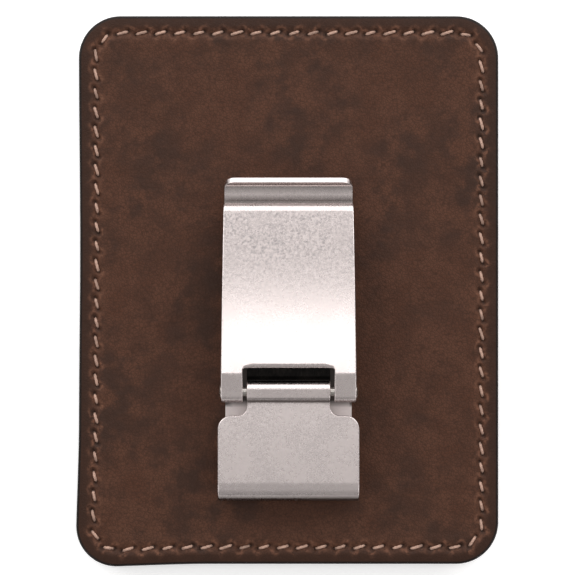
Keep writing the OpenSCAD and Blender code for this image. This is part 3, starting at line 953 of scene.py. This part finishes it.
def satin_plating(name, base, roughness, mottle):
    """Satin nickel plating: tumbled, with fine mottling, faint scratches, varying gloss, and painted shade
    where a piece marks it.
    """
    f = Finish(name)
    pits = f.noise(1.9, 4, 0.62)
    fine = f.noise(6.5, 3, 0.6)
    wide = f.noise(0.16, 3, 0.5)
    scratches = f.noise(1.0, 4, 0.6, f.stretched(0.25, 7.0, 3.0))
    tone = f.mix(f.ramp(pits, 0.35, 0.68), shade(base, 0.975), shade(base, 1.015))
    tone = f.mix(f.ramp(wide, 0.4, 0.65, 0.0, 0.4), tone, shade(base, 0.97, 1.01))
    dull = f.measure("dull")
    specks = f.product(f.ramp(f.noise(2.2, 4, 0.72), 0.38, 0.70), f.ramp(wide, 0.3, 0.6, 0.45, 1.0))
    tone = f.mix(f.product(f.measure("speckle"), specks), tone, shade(base, 0.5, 0.97))
    rough = f.ramp(f.sum(pits, wide), 0.75, 1.25, roughness - 0.02, roughness + 0.03)
    # Painted shade: the measure at each point darkens the plating towards a dark copy of its colour.
    f.set(Base_Color=f.mix(f.measure("painted_shade"), tone, shade(base, 0.11, 1.05)),
          Roughness=f.sum(rough, f.ramp(dull, 0.0, 1.0, 0.0, 0.28)))
    f.surface.inputs["Metallic"].default_value = 1.0
    f.bumps((pits, mottle), (fine, mottle * 0.2), (scratches, 0.0006 * MM))
    return f.material


def bright_steel(name, base):
    """Bright turned steel with faint lathe marks round the pin."""
    f = Finish(name)
    lathe_marks = f.noise(1.0, 4, 0.6, f.stretched(9, 0.6, 0.6))
    f.set(Base_Color=f.mix(f.ramp(lathe_marks, 0.3, 0.7), shade(base, 0.92), shade(base, 1.0)),
          Roughness=f.ramp(lathe_marks, 0.3, 0.7, 0.2, 0.32))
    f.surface.inputs["Metallic"].default_value = 1.0
    f.bumps((lathe_marks, 0.002 * MM))
    return f.material


def blackened_steel_and_shade(name, base):
    """Blackened spring steel in a near-black colour that is partly painted shade, with rolling marks and a
    faint bloom.
    """
    f = Finish(name)
    rolled = f.noise(1.0, 4, 0.6, f.stretched(6, 0.5, 0.5))
    bloom = f.noise(0.5, 4, 0.6)
    f.set(Base_Color=f.mix(f.ramp(bloom, 0.4, 0.7), shade(base, 0.8), shade(base, 1.5, 1.06)),
          Roughness=f.ramp(rolled, 0.3, 0.7, 0.24, 0.4))
    f.surface.inputs["Metallic"].default_value = 1.0
    f.bumps((rolled, 0.003 * MM))
    return f.material


def front_leather(case):
    """The finish of the front and back leathers."""
    return finish_named("oiled_front_leather", oiled_leather, tuple(case.front_colour),
                        tuple(case.edge_colour), 1.9)


def pocket_leather(case):
    """The finish of the thinner leather of the card pockets, with a finer grain."""
    return finish_named("oiled_pocket_leather", oiled_leather, tuple(case.pocket_colour),
                        tuple(case.edge_colour), 2.6)


def thread_finish(thread):
    """The finish of every thread in the case."""
    return finish_named("waxed_tan_thread", waxed_thread, tuple(thread.thread_colour))


def plating(clip):
    """The finish of the bracket, the arm and their fasteners."""
    mottle = 0.008 * MM
    return finish_named("satin_nickel", satin_plating, tuple(clip.plate_colour), clip.roughness, mottle)


# ---- Operators: one for each piece or group of like pieces ----

class BuildOperator(bpy.types.Operator):
    """What the operators below share"""
    bl_idname = "money_clip.base"
    bl_label = "Build"
    bl_options = {"REGISTER", "UNDO"}

    def settings(self, context):
        """The settings of the case, the thread, the clip and the studio."""
        scene = context.scene
        return scene.clip_case, scene.clip_thread, scene.clip_metal, scene.clip_studio


class BuildFrontPanel(BuildOperator):
    """Makes the front leather panel, pressed in along the seam and round the clip's base"""
    bl_idname = "money_clip.front_panel"
    bl_label = "Front leather panel"

    def execute(self, context):
        case, thread, _, _ = self.settings(context)
        ends = stitch_ends(seam_places(case, thread), thread)
        plate_middle = (BRACKET_LOW.y + BRACKET_TOP.y) / 2
        plate_half_l = (BRACKET_TOP.y - BRACKET_LOW.y) / 2

        def press(x, y):
            plate_x = np.abs(x) - BASE_HALF_W
            plate_y = np.abs(y - plate_middle) - plate_half_l
            gap = np.hypot(np.maximum(plate_x, 0), np.maximum(plate_y, 0)) / MM
            bulge = 0.06 * MM * hump(gap - 1.1, 0.6)
            calm = smooth_step(2 * MM, 9 * MM, case_distance(x, y, case)) * smooth_step(0.5, 5.0, gap)
            return seam_relief(x, y, case, ends) - bulge + 0.07 * MM * calm * soft_waves(x, y, 0.4)

        places, faces, measures = leather_layer(case, thread, *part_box("front_panel"), 1, press=press)
        new_piece("front_leather", places, faces, "case", "case_leather", ["front_panel"],
                  front_leather(case), measures=measures)
        return {"FINISHED"}


class BuildBoard(BuildOperator):
    """Makes the stiffening board, set back a little between the leathers"""
    bl_idname = "money_clip.board"
    bl_label = "Stiffening board"

    def execute(self, context):
        case, thread, _, _ = self.settings(context)
        places, faces, _ = leather_layer(case, thread, *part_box("stiffener_board"), 1, bare=True)
        set_back = 0.12 * MM
        places[:, :2] *= 1 - set_back / HALF_L
        finish = finish_named("sealed_board", board_finish, tuple(case.edge_colour))
        new_piece("board", places, faces, "case", "board", ["stiffener_board"], finish)
        return {"FINISHED"}


class BuildBackLeathers(BuildOperator):
    """Makes the back panel and the three card pockets, whose mouths stand a little away"""
    bl_idname = "money_clip.back_leathers"
    bl_label = "Back panel and card pockets"

    def execute(self, context):
        case, thread, _, _ = self.settings(context)
        ends = stitch_ends(seam_places(case, thread), thread)
        layers = [("back_leather", "back_panel", "case_leather", front_leather, 0.0, 1.0),
                  ("upper_pocket", "upper_card_pocket", "pocket_leather", pocket_leather, 1.0, 2.0),
                  ("middle_pocket", "middle_card_pocket", "pocket_leather", pocket_leather, 1.0, 3.0),
                  ("lower_pocket", "lower_card_pocket", "pocket_leather", pocket_leather, 0.0, 4.0)]
        for name, node, slot, finish, lift, phase in layers:
            low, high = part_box(node)
            mouth = high.x

            def press(x, y):
                inset = case_distance(x, y, case)
                crease = 0.09 * MM * hump((mouth - x) / MM - 1.3, 0.22) if mouth < HALF_W else 0
                crease = crease * smooth_step(3.6 * MM, 4.4 * MM, inset)
                waves = 0.04 * MM * smooth_step(2 * MM, 9 * MM, inset) * (1 + soft_waves(x, y, phase))
                return np.maximum(seam_relief(x, y, case, ends) + crease + waves, 0)

            def bow(x, y):
                across = smooth_step(9 * MM, 0, mouth - x)
                along = np.clip(1 - (y / (HALF_L - 6 * MM)) ** 2, 0, 1) ** 1.5
                return lift * case.mouth_lift * across * along

            places, faces, measures = leather_layer(case, thread, low, high, -1, bow, press)
            new_piece(name, places, faces, "case", slot, [node], finish(case), measures=measures)
        return {"FINISHED"}


class BuildStitching(BuildOperator):
    """Sews the seam round the case: a slanted row on the front and one on the back"""
    bl_idname = "money_clip.stitching"
    bl_label = "Stitching"

    def execute(self, context):
        case, thread, _, _ = self.settings(context)
        rng = random.Random(7)
        places = seam_places(case, thread)
        front_z = LEATHER_Z - 0.13 * MM
        back_sunk = 0.29 * MM
        front = [thread_stitch(thread, x, y, front_z, heading, 1, rng) for x, y, heading in places]
        boxes = [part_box(node) for node in
                 ("lower_card_pocket", "middle_card_pocket", "upper_card_pocket", "back_panel")]
        steps = sorted((high.x, low.z) for low, high in boxes)
        back = []
        for x, y, heading in places:
            if min(abs(x - mouth) for mouth, _ in steps[:3]) > thread.stitch / 2:
                face_z = next(z for mouth, z in steps if x < mouth)
                back.append(thread_stitch(thread, x, y, face_z + back_sunk, heading, -1, rng))
        finish = thread_finish(thread)
        for name, node, stitches in (("front_thread", "front_stitching", front),
                                     ("back_thread", "back_stitching", back)):
            places, faces = together([stitch[:2] for stitch in stitches])
            tucked = np.concatenate([stitch[2] for stitch in stitches])
            new_piece(name, settle(places, case), faces, "case", "thread", [node], finish,
                      measures={"tucked": tucked})
        return {"FINISHED"}


class BuildBracket(BuildOperator):
    """Bends the bracket: base plate, round throat, shoulders and the knuckle round the pin"""
    bl_idname = "money_clip.bracket"
    bl_label = "Bracket"

    def execute(self, context):
        _, _, clip, _ = self.settings(context)
        line = bracket_line(clip)
        low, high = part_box("base_rivets")
        rivet_r = (high.x - low.x) / 2
        rivets = (low.y + rivet_r, high.y - rivet_r)
        holes = [hole_ring(0, BRACKET_TOP.y - y, RIVET_HOLE, 40) for y in rivets]
        outline = bracket_outline(clip, line)
        places, normals, faces = bent_sheet(line, outline, holes, clip.sheet, clip.edge)
        places, normals = knuckle_flats(places, normals)
        new_piece("bracket", places, faces, "case", "plated_steel", ["base_bracket"], plating(clip),
                  normals, self.dullness_and_painted_shade(clip, line, places))
        return {"FINISHED"}

    def dullness_and_painted_shade(self, clip, line, places):
        """The base plate is duller than the rest, and painted shade darkens the bend's outer face, the
        plate under the hinge and the knuckle's side towards the base.
        """
        y = places[:, 1]
        height = places[:, 2] - LEATHER_Z
        base = (height > 0.5 * MM) & (height < 1.2 * MM)
        middle = HINGE.z - LEATHER_Z - knuckle_radius(clip) - line.parts[THROAT_BEND][1] / math.pi
        # Painted shade: on the bend's outer face from its middle height up, on the base plate under the
        # hinge, and on the knuckle's lower side.
        bend = 0.92 * smooth_step(1.35 * MM, 0.75 * MM, y - BRACKET_LOW.y)
        bend = bend * smooth_step(middle - 1.2 * MM, middle, height)
        away = y - HINGE.y
        under_hinge = base * smooth_step(-2.9 * MM, -2.3 * MM, away) * smooth_step(9 * MM, 5 * MM, away)
        knuckle = 0.85 * smooth_step(-0.8 * MM, -1.6 * MM, away) * (height > 5 * MM) * (away > -2 * MM)
        painted_shade = np.maximum(np.maximum(bend, under_hinge), knuckle)
        speckle = np.full(len(places), 0.04)
        return {"dull": base.astype(float), "painted_shade": painted_shade, "speckle": speckle}


class BuildArm(BuildOperator):
    """Bends the arm: ears round the pin, the arched plate, the nose and the lifting lip"""
    bl_idname = "money_clip.arm"
    bl_label = "Arm"

    def execute(self, context):
        _, _, clip, _ = self.settings(context)
        line = arm_line(clip)
        window, window_s = window_edge(clip, line)
        worn_edge = 0.8 * MM

        def worn(across, along):
            over_window = smooth_step(0, 0.6 * MM, window - np.abs(across))
            at_edge = np.abs(along - window_s) < 0.95 * MM
            return clip.edge + (worn_edge - clip.edge) * over_window * at_edge

        outline = arm_outline(clip, line)
        places, normals, faces = bent_sheet(line, outline, [], clip.sheet, clip.edge, worn)
        y = places[:, 1]
        # Painted shade in the hollows of the foot and lip bends and on the ear curls beyond the pin.
        hollow = bend_painted_shade(line, places, {FOOT_BEND: 0.9, LIP_BEND: 0.5})
        ears = 0.55 * smooth_step(-1.0 * MM, -2.1 * MM, y - HINGE.y)
        upper = smooth_step(-4 * MM, 9 * MM, y) * smooth_step(13.6 * MM, 12.4 * MM, y)
        new_piece("arm", places, faces, "arm", "plated_steel", ["clip_arm"], plating(clip), normals,
                  {"painted_shade": np.maximum(hollow, ears), "dull": np.zeros(len(places)),
                   "speckle": 0.04 + 0.96 * upper})
        return {"FINISHED"}


class BuildSpring(BuildOperator):
    """Bends the leaf spring and sets the two studs that hold it under the arm"""
    bl_idname = "money_clip.spring"
    bl_label = "Leaf spring and studs"

    def execute(self, context):
        _, _, clip, _ = self.settings(context)
        line = spring_line(clip, arm_line(clip))
        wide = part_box("leaf_spring")[1].x
        end = line.length
        outline = rounded_outline([(wide, 0, 0.5 * MM), (wide, end, 1.2 * MM), (-wide, end, 1.2 * MM),
                                   (-wide, 0, 0.5 * MM)], 1.2 * MM)
        head = 1.4 * MM
        stud_s = end - 3 * MM
        stud_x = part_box("spring_studs")[1].x - head
        holes = [hole_ring(side * stud_x, stud_s, STUD_HOLE, 24) for side in (-1, 1)]
        places, normals, faces = bent_sheet(line, outline, holes, clip.spring_sheet, 0.08 * MM)
        # The spring's near-black colour is blackened steel, darkened further as painted shade for the
        # window over the knuckle.
        finish = finish_named("blackened_spring_steel", blackened_steel_and_shade, (0.0055, 0.005, 0.0048))
        new_piece("spring", places, faces, "arm", "spring_steel", ["leaf_spring"], finish, normals)

        shank = 0.8 * MM
        profile = fillet([(0, 0), (0, shank), (0.43 * MM, shank), (0.43 * MM, head),
                          (0.7 * MM, 1.38 * MM), (0.86 * MM, 0.8 * MM), (0.88 * MM, 0)], 0.12 * MM)
        y, z, a = (float(v) for v in line.at(stud_s))
        half = clip.spring_sheet / 2
        studs = []
        for side in (-1, 1):
            shape, stud_faces = turned(profile, 32)
            ahead = shape[:, 1]
            rise = half - shape[:, 0]
            moved = np.stack([side * stud_x + shape[:, 2], y + ahead * math.cos(a) - rise * math.sin(a),
                              z + ahead * math.sin(a) + rise * math.cos(a)], axis=1)
            studs.append((moved, stud_faces))
        new_piece("studs", *together(studs), "arm", "plated_steel", ["spring_studs"], plating(clip))
        return {"FINISHED"}


class BuildPin(BuildOperator):
    """Turns the hinge pin with its peened ends"""
    bl_idname = "money_clip.pin"
    bl_label = "Hinge pin"

    def execute(self, context):
        low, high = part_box("hinge_pin")
        face = ARM_TOP.x
        head = (high.z - low.z) / 2
        half = [(0.0, PIN_RADIUS), (face, PIN_RADIUS), (face, head - 0.03 * MM), (face + 0.12 * MM, head),
                (face + 0.26 * MM, 0.72 * head), (high.x, 0.3 * head)]
        whole = [(-high.x, 0.0)] + [(-x, r) for x, r in reversed(half[1:])] + half[1:] + [(high.x, 0.0)]
        places, faces = turned(fillet(whole, 0.07 * MM), 40)
        places = places + np.array([0, HINGE.y, HINGE.z])
        finish = finish_named("bright_pin_steel", bright_steel, (0.5, 0.47, 0.44))
        new_piece("pin", places, faces, "arm", "pin_steel", ["hinge_pin"], finish)
        return {"FINISHED"}


class BuildRivets(BuildOperator):
    """Sets the two flush rivets that hold the bracket to the front leather"""
    bl_idname = "money_clip.rivets"
    bl_label = "Rivets"

    def execute(self, context):
        _, _, clip, _ = self.settings(context)
        low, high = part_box("base_rivets")
        head = (high.x - low.x) / 2
        tail = 1.9 * MM
        tail_top = low.z + 0.35 * MM
        shank = 1.25 * MM
        top = LEATHER_Z + clip.sheet
        flare = top - 0.7 * clip.sheet
        profile = fillet([(low.z, 0), (low.z, tail), (tail_top, tail), (tail_top, shank), (flare, shank),
                          (top - 0.06 * MM, head), (top + 0.02 * MM, 0.8 * head), (top + 0.04 * MM, 0)],
                         0.08 * MM)
        rivets = []
        for y in (low.y + head, high.y - head):
            shape, faces = turned(profile, 48)
            rivets.append((np.stack([shape[:, 1], y + shape[:, 2], shape[:, 0]], axis=1), faces))
        new_piece("rivets", *together(rivets), "case", "plated_steel", ["base_rivets"], plating(clip))
        return {"FINISHED"}


class FinishHiddenPieces(BuildOperator):
    """Gives the washers and the pockets' inner seams, which stay as they are, their finishes"""
    bl_idname = "money_clip.hidden_pieces"
    bl_label = "Washers and inner seams"

    def execute(self, context):
        _, thread, clip, _ = self.settings(context)
        for node, finish in (("rivet_washers", plating(clip)), ("upper_pocket_seam", thread_finish(thread)),
                             ("middle_pocket_seam", thread_finish(thread))):
            materials = frame["nodes"][node].data.materials
            materials.clear()
            materials.append(finish)
        return {"FINISHED"}


class BuildStudio(BuildOperator):
    """Sets the table, the soft lights and the camera straight above the case"""
    bl_idname = "money_clip.studio"
    bl_label = "Studio"
    # Brightness of the tent, from the side nearest the hinge (0) to the side nearest the nose (1).
    TENT = ((0.0, 0.2), (0.02, 0.28), (0.115, 0.41), (0.3, 0.41), (0.5, 0.455), (0.65, 0.66), (0.8, 0.72))

    def execute(self, context):
        *_, studio = self.settings(context)
        self.table(studio)
        # Each lamp's place, its width and length, its power, and the way it faces.
        self.soft_box("softbox", (0, 0.1, 0.7), (0.5, 0.12), studio.soft_light, (0, 0, -1))
        for side in (-1, 1):
            self.soft_box("key_light", (0.58 * side, 0.5, 0.55), (0.6, 0.6), studio.key_light,
                          (-0.52 * side, -0.5, -0.55))
            self.soft_box("fill_light", (0.5 * side, -0.5, 0.45), (0.5, 0.5), studio.fill_light,
                          (-0.5 * side, 0.5, -0.45))
        self.soft_box("far_panel", (0, 0.75, 0.40), (0.7, 0.7), studio.far_light, (0, -0.75, -0.3))
        self.surroundings(context.scene)
        self.camera(context.scene, studio)
        context.scene.view_settings.view_transform = "Standard"
        return {"FINISHED"}

    def table(self, studio):
        """A large pale table just under the case, which glows a little as painted light and is painted
        darker far from it.
        """
        size = 2.0
        z = -0.02 * MM
        mesh = bpy.data.meshes.new("table")
        mesh.from_pydata([(-size, -size, z), (size, -size, z), (size, size, z), (-size, size, z)], [],
                         [(0, 1, 2, 3)])
        table = bpy.data.objects.new("table", mesh)
        bpy.context.scene.collection.objects.link(table)
        f = Finish("glowing_pale_table")
        tone = tuple(studio.floor_colour)
        away = f.add("ShaderNodeVectorMath", operation="LENGTH")
        f.link(f.place, away.inputs[0])
        # Painted light: the table's colour fades darker away from the case, and the table glows with that
        # colour.
        painted_falloff = f.mix(f.ramp(away.outputs["Value"], 70, 260), tone, shade(tone, 0.62))
        f.set(Base_Color=painted_falloff, Emission_Color=painted_falloff)
        f.surface.inputs["Emission Strength"].default_value = 0.4
        f.surface.inputs["Roughness"].default_value = 0.9
        f.surface.inputs["Specular IOR Level"].default_value = 0.1
        mesh.materials.append(f.material)

    def soft_box(self, name, place, size, power, facing):
        """A flat lamp that the camera doesn't see."""
        light = bpy.data.lights.new(name, "AREA")
        light.shape = "RECTANGLE"
        light.size, light.size_y = size
        light.energy = power
        lamp = bpy.data.objects.new(name, light)
        lamp.location = place
        lamp.rotation_euler = Vector(facing).to_track_quat("-Z", "Y").to_euler()
        lamp.visible_camera = False
        bpy.context.scene.collection.objects.link(lamp)

    def surroundings(self, scene):
        """A soft grey tent round the case, darker on the side nearest the hinge."""
        world = bpy.data.worlds.new("soft_tent")
        scene.world = world
        world.use_nodes = True
        nodes, links = world.node_tree.nodes, world.node_tree.links
        direction = nodes.new("ShaderNodeTexCoord")
        axes = nodes.new("ShaderNodeSeparateXYZ")
        links.new(direction.outputs["Generated"], axes.inputs[0])
        along = nodes.new("ShaderNodeMapRange")
        links.new(axes.outputs["Y"], along.inputs["Value"])
        along.inputs["From Min"].default_value = -1.0
        fade = nodes.new("ShaderNodeValToRGB")
        links.new(along.outputs["Result"], fade.inputs["Fac"])
        fade.color_ramp.interpolation = "EASE"
        while len(fade.color_ramp.elements) < len(self.TENT):
            fade.color_ramp.elements.new(0.5)
        for stop, (place, brightness) in zip(fade.color_ramp.elements, self.TENT):
            stop.position = place
            stop.color = (brightness, 0.985 * brightness, 0.975 * brightness, 1)
        links.new(fade.outputs["Color"], nodes["Background"].inputs["Color"])

    def camera(self, scene, studio):
        """A camera that looks straight down, a little off the case's middle."""
        lens = bpy.data.cameras.new("camera")
        lens.sensor_width = 36
        lens.lens = lens.sensor_width * studio.camera_height / studio.view_width
        lens.clip_start = 0.01
        aside, ahead = -0.17 * MM, 0.42 * MM
        camera = bpy.data.objects.new("camera", lens)
        camera.location = (aside, ahead, LEATHER_Z + studio.camera_height)
        scene.collection.objects.link(camera)
        scene.camera = camera


OPERATORS = (BuildFrontPanel, BuildBoard, BuildBackLeathers, BuildStitching, BuildBracket, BuildArm,
             BuildSpring, BuildPin, BuildRivets, FinishHiddenPieces, BuildStudio)
GROUPS = {"clip_case": CaseSettings, "clip_thread": ThreadSettings, "clip_metal": ClipSettings,
          "clip_studio": StudioSettings}


class MoneyClipPanel(bpy.types.Panel):
    """Lists the settings and the pieces in the order in which they are built"""
    bl_idname = "VIEW3D_PT_money_clip"
    bl_label = "Money Clip"
    bl_space_type = "VIEW_3D"
    bl_region_type = "UI"
    bl_category = "Money Clip"

    def draw(self, context):
        for name, group in GROUPS.items():
            box = self.layout.box()
            for label in group.__annotations__:
                box.prop(getattr(context.scene, name), label)
        for operator in OPERATORS:
            self.layout.operator(operator.bl_idname)


CLASSES = (*GROUPS.values(), *OPERATORS, MoneyClipPanel)


def register():
    for each in CLASSES:
        bpy.utils.register_class(each)
    for name, group in GROUPS.items():
        setattr(bpy.types.Scene, name, bpy.props.PointerProperty(type=group))


def unregister():
    for name in GROUPS:
        delattr(bpy.types.Scene, name)
    for each in reversed(CLASSES):
        bpy.utils.unregister_class(each)


def main():
    register()
    bpy.ops.money_clip.studio()
    bpy.ops.money_clip.front_panel()
    bpy.ops.money_clip.board()
    bpy.ops.money_clip.back_leathers()
    bpy.ops.money_clip.stitching()
    bpy.ops.money_clip.bracket()
    bpy.ops.money_clip.arm()
    bpy.ops.money_clip.spring()
    bpy.ops.money_clip.pin()
    bpy.ops.money_clip.rivets()
    bpy.ops.money_clip.hidden_pieces()


if __name__ == "__main__":
    main()
